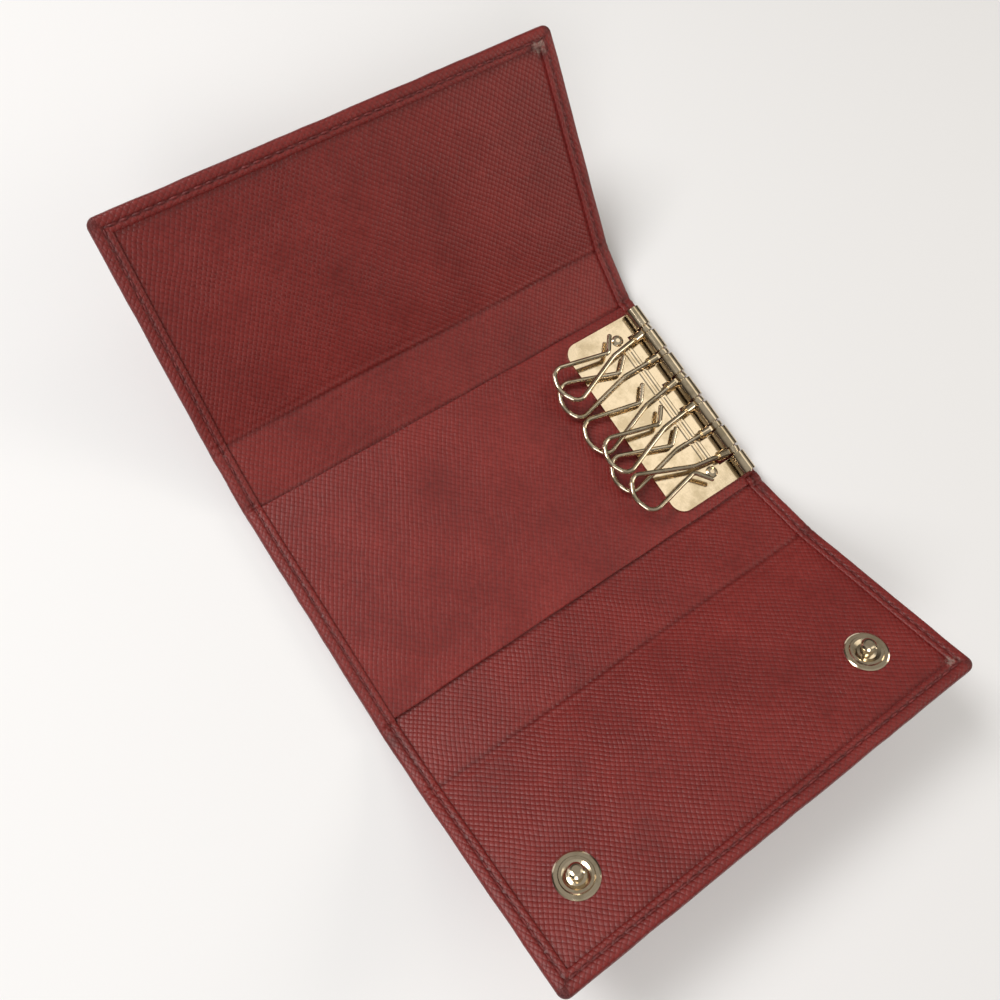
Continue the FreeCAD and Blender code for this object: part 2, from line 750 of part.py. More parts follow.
def make_swivel(index):
    """The small swivel: a ring on the rod with a collar that holds the hook's headed shank."""
    label = f"hook_swivel_{index + 1}"
    body = new_body(label)
    ring = new_sketch(body, label + "_ring", "XZ_Plane")
    add_circle(ring, "swivel_radius")
    pad(body, ring, "swivel_width", symmetric=True)
    neck = new_sketch(body, label + "_neck", "XZ_Plane")
    add_rectangle(neck, "0 - collar_start - 0.2", "0 - swivel_radius + 0.2",
                  "0 - swivel_width / 2", "swivel_width / 2")
    pad(body, neck, "swivel_width", symmetric=True)
    collar = new_sketch(body, label + "_collar", "YZ_Plane", offset="0 - collar_end")
    add_circle(collar, "collar_radius")
    pad(body, collar, "collar_end - collar_start")
    bore = new_sketch(body, label + "_bore", "XZ_Plane")
    add_circle(bore, "swivel_bore")
    pocket(body, bore, "3 * swivel_width", symmetric=True)
    shank = new_sketch(body, label + "_shank", "YZ_Plane", offset="0 - collar_end - 1")
    add_circle(shank, "shank_bore")
    pocket(body, shank, "collar_end - cavity_start + 1", backwards=True)
    cavity = new_sketch(body, label + "_cavity", "YZ_Plane", offset="0 - cavity_end")
    add_circle(cavity, "cavity_radius")
    before = volume_of(body)
    pocket(body, cavity, "cavity_end - cavity_start", backwards=True)
    if volume_of(body) >= before:
        raise RuntimeError(f"{label}: the head's cavity cut nothing")
    finish(body, label, hook_placement(index))


def bent_path(bends):
    """Straight runs joined by tangent arcs, from (along, sideways, radius) bends in one plane."""
    corners = [Vector(-along, sideways, 0) for along, sideways, _ in bends]
    edges = []
    last = corners[0]
    for index in range(1, len(corners) - 1):
        corner = corners[index]
        back = (corners[index - 1] - corner).normalize()
        onward = (corners[index + 1] - corner).normalize()
        turn = math.pi - back.getAngle(onward)
        radius = bends[index][2]
        start = corner + back * (radius * math.tan(turn / 2))
        end = corner + onward * (radius * math.tan(turn / 2))
        inward = (back + onward).normalize()
        middle = corner + inward * (radius / math.cos(turn / 2) - radius)
        edges.append(Part.LineSegment(last, start).toShape())
        edges.append(Part.Arc(start, middle, end).toShape())
        last = end
    edges.append(Part.LineSegment(last, corners[-1]).toShape())
    return Part.Wire(edges)


def make_hook(index):
    """A key hook bent from one length of round wire, with a flat head inside the swivel."""
    gate_side = HOOK_LIE[index][2]
    bends = [(along, gate_side * sideways, radius) for along, sideways, radius in HOOK_BENDS]
    path = bent_path(bends)
    start = path.Vertexes[0].Point
    tip = path.Vertexes[-1].Point
    section = Part.Wire(Part.Circle(start, Vector(1, 0, 0), size("wire_radius")).toShape())
    wire = path.makePipeShell([section], True, False)
    rounded_tip = Part.makeSphere(size("wire_radius"), tip)
    head_thickness = size("shank_head_thickness")
    head = Part.makeCylinder(size("shank_head_radius"), head_thickness, start + Vector(0.4, 0, 0),
                             Vector(-1, 0, 0))
    feature = doc.addObject("Part::Feature", f"key_hook_{index + 1}")
    feature.Shape = wire.fuse([rounded_tip, head]).removeSplitter()
    finish(feature, f"key_hook_{index + 1}", hook_placement(index))


# ---------------------------------------------------------------- build, check and write

add_row("rivet_depth", round(POCKET_TOP - size("cover_thickness") + size("plate_thickness"), 4))
add_row("socket_from_crease", round(socket_distance(), 4))
doc.recompute()

top_spine, top_flap = side_placements("top")
bottom_spine, bottom_flap = side_placements("bottom")
make_middle()
make_spine("top", top_spine)
make_spine("bottom", bottom_spine)
make_flap("top", top_flap, "socket_from_crease", lining_holes=False)
make_flap("bottom", bottom_flap, "snap_from_crease", lining_holes=True)
pierce_cover("top_flap_cover", top_flap, "socket_from_crease")
make_snaps(top_flap, bottom_flap, size("socket_from_crease"))
make_key_frame()
make_rod()
make_rivets()
for number in range(6):
    make_swivel(number)
    make_hook(number)
doc.recompute()

for item in doc.Objects:
    if "Invalid" in item.State or "Error" in item.State:
        raise RuntimeError(f"{item.Name} failed: {item.State}")
for item in finished:
    if item.Shape.isNull() or not item.Shape.isValid():
        raise RuntimeError(f"{item.Label} has no valid shape")

print("closed lean in degrees:", round(math.degrees(closed_lean()), 3))
print("sockets from the crease:", round(size("socket_from_crease"), 3))
os.makedirs("parts", exist_ok=True)
for item in finished:
    item.Shape.exportStep(f"parts/{item.Label}.step")
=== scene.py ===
"""Looks of the folding leather key case: leather, thread, metal, floor, light and camera.

Lengths of the case are in millimetres until MM turns them into Blender's metres.
Lights and the floor are placed in metres.
"""

import math

import bmesh
import bpy
import numpy as np
from mathutils import Matrix, Vector


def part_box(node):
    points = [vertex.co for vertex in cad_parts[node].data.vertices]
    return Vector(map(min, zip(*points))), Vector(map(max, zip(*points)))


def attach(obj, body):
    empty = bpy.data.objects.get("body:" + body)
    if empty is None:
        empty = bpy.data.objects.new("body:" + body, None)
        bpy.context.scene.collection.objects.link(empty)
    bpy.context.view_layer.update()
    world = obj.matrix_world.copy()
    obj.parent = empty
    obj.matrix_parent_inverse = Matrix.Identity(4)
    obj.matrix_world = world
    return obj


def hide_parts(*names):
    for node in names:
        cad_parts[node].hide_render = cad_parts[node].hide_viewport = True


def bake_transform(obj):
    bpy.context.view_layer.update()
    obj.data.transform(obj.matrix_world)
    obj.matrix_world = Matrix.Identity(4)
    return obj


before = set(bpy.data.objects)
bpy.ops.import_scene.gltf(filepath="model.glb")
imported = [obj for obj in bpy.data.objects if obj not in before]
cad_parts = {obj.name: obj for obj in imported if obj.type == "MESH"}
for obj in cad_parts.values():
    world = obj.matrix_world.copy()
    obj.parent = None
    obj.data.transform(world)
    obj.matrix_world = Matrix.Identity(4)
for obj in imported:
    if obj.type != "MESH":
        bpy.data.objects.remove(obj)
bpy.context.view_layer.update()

# ---------------------------------------------------------------- sizes
MM = 0.001
FLOOR_HALF = 3.0
HATCH_PITCH = 0.98
HALF_WIDTH = 55.0
CORNER_RADIUS = 2.0
LINING_TOP = 1.7
COVER_BOTTOM = -1.7
COVER_INSIDE = -0.9
LINING_BOTTOM = -0.5
BORDER_TOP = 0.6
PATCH_RISE = 0.7
BORDER_WIDTH = 4.0
HEM = 6.0
LINING_INSET = 1.5
STITCH_INSET = 2.5
STITCH_PITCH = 2.6
STITCH_LENGTH = 2.0
THREAD_RADIUS = 0.21
STEP = STITCH_PITCH / 3.0
FRAME_HALF_LENGTH = 26.4
BEND_HALF = 2.2
CREASE_SHADE = 0.5
DARK_RUB = 0.5
SEAMS = {"top": 35.3, "bottom": 36.2}
SIDES = {
    "top": {"sign": 1, "creases": ((27.7, 25.5), (42.9, 15.5)), "length": 95.7},
    "bottom": {"sign": -1, "creases": ((27.7, 17.0), (44.7, 9.5)), "length": 91.7},
}
BODIES = {
    "top": ("case_middle", "top_spine", "top_flap"),
    "bottom": ("case_middle", "bottom_spine", "bottom_flap"),
}


def smooth(t):
    t = np.clip(t, 0.0, 1.0)
    return t * t * (3 - 2 * t)


def ripple(x, v, wavelength, seed):
    """A gentle uneven surface, from -1 to 1, the same on every run."""
    turn = seed * 1.7
    a = np.sin(2 * math.pi * x / wavelength + turn + 1.3 * np.sin(v / wavelength * 3.1 + seed))
    b = np.sin(2 * math.pi * v / (wavelength * 1.21) + 2.1 * turn + 1.1 * np.sin(x / wavelength * 2.7))
    c = np.sin(2 * math.pi * (x + v) / (wavelength * 0.63) + turn * 0.4)
    return (a + b + 0.6 * c) / 2.6


class Fold:
    """The line that the lining's top follows from the case's centre out to the edge of one flap."""

    def __init__(self, side):
        data = SIDES[side]
        self.side = side
        self.sign = data["sign"]
        self.length = data["length"]
        self.creases = data["creases"]
        self.line = np.arange(-1.0, self.length + 12.0, 0.05)
        lean = self.lean(self.line)
        self.y = np.concatenate([[0.0], np.cumsum(np.cos(lean[:-1]) * 0.05)]) - 1.0
        self.z = np.concatenate([[0.0], np.cumsum(np.sin(lean[:-1]) * 0.05)])

    def lean(self, v):
        """The panel's lift from flat, in radians, at a distance v from the centre."""
        lift = np.zeros_like(np.asarray(v, float))
        for crease, degrees in self.creases:
            lift = lift + math.radians(degrees) * smooth((v - crease + BEND_HALF) / (2 * BEND_HALF))
        return lift

    def place(self, x, v, h):
        """The point in metres over flat place (x, v), h above the lining's top."""
        x, v, h = np.broadcast_arrays(*[np.asarray(a, float) for a in (x, v, h)])
        lean = self.lean(v)
        y = np.interp(v, self.line, self.y) - h * np.sin(lean)
        z = np.interp(v, self.line, self.z) + h * np.cos(lean) + LINING_TOP
        return np.stack([x, y * self.sign, z], axis=-1) * MM


def border_height(fold, x, v):
    """Height of the turned border over the lining: it climbs over the patch and dips under the key frame."""
    height = BORDER_TOP + PATCH_RISE * smooth((28.6 - v) / 1.8)
    under_frame = smooth((FRAME_HALF_LENGTH - v) / 1.2) * (x > 0)
    height = height + (BORDER_TOP + 0.04 - height) * under_frame
    for crease, _ in fold.creases:
        near = np.exp(-(((v - crease) / 2.4) ** 2))
        uneven = 0.75 + 0.25 * np.sin(x * 0.9 + crease)
        height = height + 0.14 * near * uneven * np.cos(2 * math.pi * (v - crease) / 1.9 + 0.4)
    return height + 0.05 * ripple(x, v, 23.0, 2)


def lining_height(fold, x, v):
    """Height of the lining's top: nearly flat, tucked down where it goes under the border."""
    edge = np.minimum(HALF_WIDTH - np.abs(x), fold.length - v)
    tuck = -0.16 * np.exp(-(((edge - BORDER_WIDTH) / 0.45) ** 2))
    crumple = 0.0
    for crease, _ in fold.creases:
        near = np.exp(-(((v - crease) / 2.6) ** 2))
        crumple = crumple + 0.05 * near * np.sin(2 * math.pi * (v - crease) / 2.3 + np.sin(x / 9.0) * 1.4)
        crumple = crumple - 0.14 * np.exp(-(((v - crease) / 0.5) ** 2))
    return tuck + crumple + 0.06 * ripple(x, v, 31.0, 5)


def rim_section(top, scallop):
    """The sewn edge across the leather, from under the case round its edge to the border's inner side.

    Each row is (distance in from the edge, height over the lining's top)."""
    middle = (top + COVER_BOTTOM) / 2
    half = (top - COVER_BOTTOM) / 2
    rows = [(HEM, COVER_BOTTOM), (4.2, COVER_BOTTOM), (3.1, COVER_BOTTOM), (2.8, COVER_BOTTOM + 0.05)]
    rows += [(STITCH_INSET, COVER_BOTTOM + 0.16), (2.2, COVER_BOTTOM + 0.05), (1.7, COVER_BOTTOM)]
    for degrees in range(-75, 90, 15):
        angle = math.radians(degrees)
        depth = 1.05 * (1 - abs(math.cos(angle)) ** 0.8)
        rise = math.copysign(abs(math.sin(angle)) ** 0.86, angle)
        rows.append((depth + 0.02, middle + half * rise))
    rows += [(1.55, top + 0.03), (1.95, top), (2.2, top - 0.07 - scallop)]
    rows += [(STITCH_INSET, top - 0.2 - scallop)]
    rows += [(2.8, top - 0.07 - scallop), (3.1, top + 0.02), (3.5, top + 0.01), (3.85, top - 0.08)]
    rows += [(BORDER_WIDTH, top - 0.22), (BORDER_WIDTH + 0.02, 0.1), (3.95, -0.12)]
    rows += [(2.6, -0.14), (1.45, -0.14), (1.3, -0.3), (1.3, COVER_INSIDE + 0.1), (1.45, COVER_INSIDE)]
    rows += [(3.5, COVER_INSIDE), (HEM, COVER_INSIDE)]
    return rows


def outline(fold, start, end, is_flap):
    """Places along the leather's edge from the left seam round to the right one, with the way out at each.

    A hinge piece has two separate edges, and a flap has one that goes round both corners."""
    straight = spread(fold, start, end - (CORNER_RADIUS if is_flap else 0.0))
    left = [(-HALF_WIDTH, v, -1.0, 0.0) for v in straight]
    right = [(HALF_WIDTH, v, 1.0, 0.0) for v in straight]
    if not is_flap:
        return [left, right[::-1]]
    far_half = HALF_WIDTH - CORNER_RADIUS
    far_count = round(2 * far_half / STEP)
    far = [(x, end, 0.0, 1.0) for x in np.linspace(-far_half, far_half, far_count + 1)]
    corner = []
    for degrees in range(10, 90, 10):
        way = (math.cos(math.radians(degrees)), math.sin(math.radians(degrees)))
        x = HALF_WIDTH - CORNER_RADIUS * (1 - way[0])
        v = end - CORNER_RADIUS * (1 - way[1])
        corner.append((x, v, way[0], way[1]))
    left_corner = [(-x, v, -out, up) for x, v, out, up in corner]
    return [left + left_corner + far + corner[::-1] + right[::-1]]


def inset(place, distance, fold, is_flap):
    """The flat place that far in from the edge, mitred where the corner is tighter than that."""
    x, v, out, up = place
    x = x - out * distance
    v = v - up * distance
    limit = HALF_WIDTH - distance
    if distance > 0:
        x = min(max(x, -limit), limit)
        if is_flap:
            v = min(v, fold.length - distance)
    return x, v


def add_grid(bm, layers, points, flat, edge):
    """A sheet of quads through a grid of points. Its UVs are its unrolled place and its place in the hem."""
    rows, columns = points.shape[:2]
    verts = [[bm.verts.new(points[i, j]) for j in range(columns)] for i in range(rows)]
    for i in range(rows - 1):
        for j in range(columns - 1):
            ring = ((i, j), (i + 1, j), (i + 1, j + 1), (i, j + 1))
            face = bm.faces.new([verts[a][b] for a, b in ring])
            face.smooth = True
            for loop, (a, b) in zip(face.loops, ring):
                loop[layers[0]].uv = flat[a, b]
                loop[layers[1]].uv = edge[a, b]


def finish_mesh(name, bm, material, crease_angle=48):
    """Turns a bmesh into a scene object with clean, consistently turned faces."""
    bmesh.ops.remove_doubles(bm, verts=bm.verts, dist=2e-6)
    bmesh.ops.dissolve_degenerate(bm, edges=bm.edges, dist=1e-7)
    open_edges = [e for e in bm.edges if e.is_boundary]
    if open_edges:
        bmesh.ops.holes_fill(bm, edges=open_edges, sides=0)
    bmesh.ops.recalc_face_normals(bm, faces=bm.faces)
    mesh = bpy.data.meshes.new(name)
    bm.to_mesh(mesh)
    bm.free()
    mesh.materials.append(material)
    mesh.set_sharp_from_angle(angle=math.radians(crease_angle))
    obj = bpy.data.objects.new(name, mesh)
    bpy.context.scene.collection.objects.link(obj)
    return obj


def add_wear_and_crease_shade(obj, fold):
    """Stores soft patches of wear and painted shade: red for dark rubbing, green for pale scuffs, blue for
    painted shade along the folds.
    """
    mesh = obj.data
    colours = mesh.color_attributes.new("wear_and_crease_shade", "FLOAT_COLOR", "POINT")
    co = np.array([v.co for v in mesh.vertices], float) / MM
    values = np.zeros((len(co), 4))
    values[:, 3] = 1.0
    for channel, x, v, radius, strength in WEAR[fold.side]:
        centre = fold.place(x, v if v > 0 else fold.length + v, BORDER_TOP) / MM
        reach = np.linalg.norm(co - centre, axis=1) / radius
        peak = strength * (DARK_RUB if channel == 0 else 1.0)
        values[:, channel] = np.maximum(values[:, channel], peak * np.exp(-reach ** 2))
    # Painted shade: a soft dark band along each crease line, stored in the blue channel.
    for crease, _ in fold.creases:
        line = fold.place(0.0, crease, 0.0) / MM
        reach = np.linalg.norm(co[:, 1:] - line[1:], axis=1) / 0.55
        values[:, 2] = np.maximum(values[:, 2], CREASE_SHADE * np.exp(-reach ** 2))
    colours.data.foreach_set("color", values.ravel())


def new_bmesh():
    bm = bmesh.new()
    return bm, (bm.loops.layers.uv.new("flat"), bm.loops.layers.uv.new("edge"))


def spread(fold, start, end):
    """Places along v from start to end, closer together where the leather bends."""
    coarse = np.linspace(start, end, max(2, round((end - start) / STEP)) + 1)
    fine = [crease + reach for crease, _ in fold.creases for reach in np.arange(-2.6, 2.61, 0.26)]
    inside = [v for v in fine if start + 0.2 < v < end - 0.2]
    kept = [v for v in coarse if all(abs(v - crease) > 2.7 for crease, _ in fold.creases)]
    return np.array(sorted(set([start, end] + kept + inside)))


def panel_grid(fold, xs, vs, height):
    """Points, flat places and hem places of a plain stretch of leather over xs and vs."""
    x, v = np.meshgrid(xs, vs, indexing="ij")
    points = fold.place(x, v, height(x, v))
    flat = np.stack([x, v * fold.sign], axis=-1) / 100
    edge = np.stack([np.full_like(x, 0.5), v / 100], axis=-1)
    return points, flat, edge


def make_cover(name, fold, start, end, is_flap):
    """The outer leather of one stretch of the case, turned over round its edge onto the lining."""
    bm, layers = new_bmesh()
    for places in outline(fold, start, end, is_flap):
        along = 0.0
        points, flats, edges = [], [], []
        for index, place in enumerate(places):
            if index:
                before = places[index - 1]
                along += math.hypot(place[0] - before[0], place[1] - before[1])
            top = float(border_height(fold, np.float64(place[0]), np.float64(place[1])))
            scallop = 0.05 * math.cos(2 * math.pi * along / STITCH_PITCH)
            wobble = 0.12 * float(ripple(np.float64(along), np.float64(top * 3), 19.0, 3))
            unrolled = -HEM
            line, flat, edge = [], [], []
            last = None
            for inward, height in rim_section(top, scallop):
                near_edge = max(0.0, 1 - inward / 3.5)
                x, v = inset(place, inward + abs(wobble) * near_edge, fold, is_flap)
                if last:
                    unrolled += math.hypot(inward - last[0], height - last[1])
                last = (inward, height)
                line.append(fold.place(x, v, height))
                flat_x, flat_v = inset(place, -unrolled, fold, is_flap)
                flat.append((flat_x / 100, flat_v * fold.sign / 100))
                is_top = height > (top + COVER_BOTTOM) / 2
                edge.append(((inward if is_top else -inward) / 10, along / STITCH_PITCH))
            points.append(line)
            flats.append(flat)
            edges.append(edge)
        add_grid(bm, layers, np.array(points), np.array(flats), np.array(edges))
    panel_end = end - HEM if is_flap else end
    vs = [p[1] for p in outline(fold, start, end, is_flap)[0] if p[2] == -1.0 and p[3] == 0.0]
    vs = sorted(set(min(v, panel_end) for v in vs))
    side = HALF_WIDTH - HEM
    if is_flap:
        xs = [p[0] for p in outline(fold, start, end, True)[0] if p[3] == 1.0]
        xs = sorted(set([-side, side] + [x for x in xs if abs(x) < side - 1e-6]))
    else:
        xs = np.linspace(-side, side, 60)
    for height in (COVER_BOTTOM, COVER_INSIDE):
        add_grid(bm, layers, *panel_grid(fold, xs, vs, lambda x, v: np.full_like(x, height)))
    return finish_mesh(name, bm, OUTER_LEATHER)


def make_lining(name, fold, start, end, is_flap):
    """The lining leather of one stretch of the case, a thin sheet with its edges under the border."""
    bm, layers = new_bmesh()
    side = HALF_WIDTH - LINING_INSET
    last = end - LINING_INSET if is_flap else end
    xs = np.linspace(-side, side, 108)
    vs = spread(fold, start, last)
    add_grid(bm, layers, *panel_grid(fold, xs, vs, lambda x, v: lining_height(fold, x, v)))
    add_grid(bm, layers, *panel_grid(fold, xs, vs, lambda x, v: np.full_like(x, LINING_BOTTOM + 0.02)))
    x_ends, v_ends = (xs[0], xs[-1]), (vs[0], vs[-1])
    heights = np.array([0.0, 1.0])
    for x in x_ends:
        v, mix = np.meshgrid(vs, heights, indexing="ij")
        add_wall(bm, layers, fold, np.full_like(v, x), v, mix)
    for v_end in v_ends:
        x, mix = np.meshgrid(xs, heights, indexing="ij")
        add_wall(bm, layers, fold, x, np.full_like(x, v_end), mix)
    return finish_mesh(name, bm, LINING_LEATHER)


def add_wall(bm, layers, fold, x, v, mix):
    """A cut edge of the lining, between its two faces."""
    top = lining_height(fold, x, v)
    height = top + (LINING_BOTTOM + 0.02 - top) * mix
    flat = np.stack([x, v * fold.sign], axis=-1) / 100
    edge = np.stack([np.full_like(x, 0.5), v / 100], axis=-1)
    add_grid(bm, layers, fold.place(x, v, height), flat, edge)


# ---------------------------------------------------------------- materials
class Nodes:
    """Short ways to add shader nodes to one material."""

    def __init__(self, name):
        self.material = bpy.data.materials.new(name)
        self.material.use_nodes = True
        self.tree = self.material.node_tree
        self.shader = self.tree.nodes["Principled BSDF"]

    def add(self, kind, **settings):
        node = self.tree.nodes.new(kind)
        for key, value in settings.items():
            setattr(node, key, value)
        return node

    def link(self, source, target):
        self.tree.links.new(source, target)

    def math(self, operation, a, b=None):
        node = self.add("ShaderNodeMath", operation=operation)
        for socket, value in ((0, a), (1, b)):
            if value is None:
                continue
            if isinstance(value, (int, float)):
                node.inputs[socket].default_value = value
            else:
                self.link(value, node.inputs[socket])
        return node.outputs[0]

    def noise(self, vector, scale, detail=3.0, roughness=0.55):
        node = self.add("ShaderNodeTexNoise")
        node.inputs["Scale"].default_value = scale
        node.inputs["Detail"].default_value = detail
        node.inputs["Roughness"].default_value = roughness
        if vector is not None:
            self.link(vector, node.inputs["Vector"])
        return node.outputs["Fac"]

    def ramp(self, factor, *stops):
        node = self.add("ShaderNodeValToRGB")
        ramp = node.color_ramp
        while len(ramp.elements) < len(stops):
            ramp.elements.new(0.5)
        for element, (position, colour) in zip(ramp.elements, stops):
            element.position = position
            element.color = (*colour, 1.0) if len(colour) == 3 else colour
        self.link(factor, node.inputs["Fac"])
        return node.outputs["Color"]

    def mix(self, factor, a, b, blend="MIX"):
        node = self.add("ShaderNodeMix", data_type="RGBA", blend_type=blend)
        for socket, value in ((0, factor), (6, a), (7, b)):
            if isinstance(value, (int, float)):
                node.inputs[socket].default_value = value
            elif isinstance(value, tuple):
                node.inputs[socket].default_value = (*value, 1.0)
            else:
                self.link(value, node.inputs[socket])
        return node.outputs[2]

    def bump(self, height, strength, distance):
        node = self.add("ShaderNodeBump")
        node.inputs["Strength"].default_value = strength
        node.inputs["Distance"].default_value = distance
        self.link(height, node.inputs["Height"])
        self.link(node.outputs["Normal"], self.shader.inputs["Normal"])
        return node


def srgb(red, green, blue):
    """Linear colour from the usual 0 to 255 screen values."""
    screen = (red, green, blue)
    return tuple(((c / 255 + 0.055) / 1.055) ** 2.4 if c > 10 else c / 255 / 12.92 for c in screen)


def leather(name, dark, middle, light, roughness, depth, pitch=HATCH_PITCH):
    """Cross-hatched embossed leather. The hatch follows the unrolled hide, so it bends with the case."""
    n = Nodes(name)
    uv = n.add("ShaderNodeUVMap", uv_map="flat").outputs["UV"]
    split = n.add("ShaderNodeSeparateXYZ")
    n.link(uv, split.inputs[0])
    drift = n.math("MULTIPLY", n.math("SUBTRACT", n.noise(uv, 7.0, 2.0), 0.5), 0.016)
    ridges = []
    for degrees in HATCH_ANGLES:
        angle = math.radians(degrees)
        across = n.math("MULTIPLY", split.outputs["X"], math.sin(angle))
        along = n.math("MULTIPLY", split.outputs["Y"], math.cos(angle))
        phase = n.math("ADD", n.math("SUBTRACT", across, along), drift)
        wave = n.math("ABSOLUTE", n.math("SINE", n.math("MULTIPLY", phase, math.pi * 100 / pitch)))
        ridges.append(n.math("POWER", wave, 0.62))
    hatch = n.math("MULTIPLY", n.math("ADD", ridges[0], ridges[1]), 0.5)
    pressed = n.ramp(n.noise(uv, 11.0, 3.0), (0.30, (0.55, 0.55, 0.55)), (0.62, (1.0, 1.0, 1.0)))
    relief = n.math("MULTIPLY", hatch, pressed)
    grain = n.noise(uv, 330.0, 3.0, 0.7)
    slack = n.math("MULTIPLY", n.noise(uv, 9.0, 2.0), 1.2)
    n.bump(n.math("ADD", n.math("ADD", relief, n.math("MULTIPLY", grain, 0.30)), slack), 1.0, depth * MM)
    cloud = n.noise(uv, 5.0, 4.0, 0.55)
    mottle = n.noise(uv, 70.0, 4.0, 0.65)
    tone = n.math("ADD", n.math("MULTIPLY", cloud, 0.5), n.math("MULTIPLY", mottle, 0.5))
    colour = n.ramp(tone, (0.30, dark), (0.5, middle), (0.70, light))
    # Painted shade: the hatch's grooves and their crossings are darkened where the relief is low.
    groove_shade = n.ramp(relief, (0.18, (0.40, 0.26, 0.26)), (0.62, (1.0, 1.0, 1.0)))
    colour = n.mix(0.5, colour, groove_shade, "MULTIPLY")
    edge = n.add("ShaderNodeSeparateXYZ")
    n.link(n.add("ShaderNodeUVMap", uv_map="edge").outputs["UV"], edge.inputs[0])
    inward = n.math("ABSOLUTE", edge.outputs["X"])
    seam = n.math("ABSOLUTE", n.math("SUBTRACT", inward, STITCH_INSET / 10))
    seam_shade = n.ramp(seam, (0.015, (0.52, 0.46, 0.46)), (0.055, (1.0, 1.0, 1.0)))
    colour = n.mix(0.9, colour, seam_shade, "MULTIPLY")
    rim = n.ramp(inward, (0.0, (0.56, 0.48, 0.48)), (0.05, (1.0, 1.0, 1.0)))
    colour = n.mix(n.noise(uv, 40.0, 3.0), colour, n.mix(1.0, colour, rim, "MULTIPLY"))
    wear_and_crease_shade = n.add("ShaderNodeSeparateColor")
    n.link(n.add("ShaderNodeAttribute", attribute_name="wear_and_crease_shade").outputs["Color"], wear_and_crease_shade.inputs[0])
    rub = n.math("MULTIPLY", wear_and_crease_shade.outputs[0], n.math("MULTIPLY", n.noise(uv, 90.0, 3.0), 2.4))
    colour = n.mix(n.math("MINIMUM", rub, 1.0), colour, srgb(34, 10, 10))
    scuff = n.math("MULTIPLY", wear_and_crease_shade.outputs[1], n.noise(uv, 110.0, 4.0, 0.75))
    scuff_mask = n.ramp(scuff, (0.34, (0, 0, 0)), (0.50, (0.85, 0.85, 0.85)))
    colour = n.mix(scuff_mask, colour, srgb(146, 120, 112))
    # Painted shade: the blue channel darkens the leather along the creases.
    colour = n.mix(n.math("MULTIPLY", wear_and_crease_shade.outputs[2], 0.75), colour, srgb(52, 8, 10))
    speck = n.add("ShaderNodeTexVoronoi")
    speck.inputs["Scale"].default_value = 5.5
    n.link(uv, speck.inputs["Vector"])
    speck_mask = n.ramp(speck.outputs["Distance"], (0.010, (0.6, 0.6, 0.6)), (0.018, (0, 0, 0)))
    colour = n.mix(speck_mask, colour, srgb(205, 178, 160))
    n.link(colour, n.shader.inputs["Base Color"])
    gloss = n.math("ADD", n.math("MULTIPLY", mottle, 0.20), roughness - 0.10)
    n.link(n.math("ADD", gloss, n.math("MULTIPLY", wear_and_crease_shade.outputs[0], 0.25)), n.shader.inputs["Roughness"])
    n.shader.inputs["Specular IOR Level"].default_value = 0.42
    n.shader.inputs["Coat Weight"].default_value = 0.05
    n.shader.inputs["Coat Roughness"].default_value = 0.35
    return n.material


def thread_material():
    """Waxed polyester thread, dyed to the leather, with its twist as fine slanting ridges."""
    n = Nodes("waxed_thread")
    coords = n.add("ShaderNodeTexCoord").outputs["Object"]
    wave = n.add("ShaderNodeTexWave", bands_direction="DIAGONAL")
    wave.inputs["Scale"].default_value = 900.0
    n.link(coords, wave.inputs["Vector"])
    n.bump(wave.outputs["Fac"], 0.5, 0.05 * MM)
    tone = n.noise(coords, 700.0, 2.0)
    colour = n.ramp(tone, (0.35, srgb(84, 22, 22)), (0.65, srgb(118, 38, 37)))
    n.link(colour, n.shader.inputs["Base Color"])
    n.shader.inputs["Roughness"].default_value = 0.55
    return n.material


def metal(name, dark, light, low, high, relief):
    """Polished plated metal with faint tarnish, fine rubbing marks and soft uneven gloss."""
    n = Nodes(name)
    coords = n.add("ShaderNodeTexCoord").outputs["Object"]
    colour = n.ramp(n.noise(coords, 190.0, 4.0, 0.6), (0.38, dark), (0.55, light))
    n.link(colour, n.shader.inputs["Base Color"])
    mapping = n.add("ShaderNodeMapping")
    mapping.inputs["Scale"].default_value = (4200.0, 600.0, 4200.0)
    mapping.inputs["Rotation"].default_value = (0.0, 0.0, 0.5)
    n.link(coords, mapping.inputs["Vector"])
    marks = n.noise(mapping.outputs["Vector"], 1.0, 3.0, 0.7)
    n.link(n.math("ADD", n.math("MULTIPLY", marks, high - low), low), n.shader.inputs["Roughness"])
    n.bump(n.math("ADD", n.math("MULTIPLY", n.noise(coords, 130.0, 1.0), 4.0), marks), relief, 0.01 * MM)
    n.shader.inputs["Metallic"].default_value = 1.0
    return n.material


def board_material():
    """Grey-brown pressed fibre board with flecks."""
    n = Nodes("fibre_board")
    coords = n.add("ShaderNodeTexCoord").outputs["Object"]
    flecks = n.noise(coords, 1500.0, 5.0, 0.8)
    colour = n.ramp(flecks, (0.3, srgb(120, 104, 88)), (0.7, srgb(176, 160, 140)))
    n.link(colour, n.shader.inputs["Base Color"])
    n.bump(flecks, 0.6, 0.04 * MM)
    n.shader.inputs["Roughness"].default_value = 0.9
    return n.material


HATCH_ANGLES = (58.0, -42.0)
WINE_DARK = srgb(104, 28, 26)
WINE = srgb(121, 35, 32)
WINE_LIGHT = srgb(136, 44, 40)
OUTER_LEATHER = leather("outer_leather_wine", WINE_DARK, WINE, WINE_LIGHT, 0.42, 0.14)
LINING_LEATHER = leather("lining_leather_wine", WINE_DARK, WINE, WINE_LIGHT, 0.40, 0.15)
THREAD = thread_material()
NICKEL = metal("polished_nickel", srgb(196, 180, 152), srgb(222, 206, 180), 0.06, 0.22, 0.22)
WIRE = metal("plated_wire", srgb(190, 176, 150), srgb(218, 204, 180), 0.06, 0.20, 0.15)
BOARD = board_material()


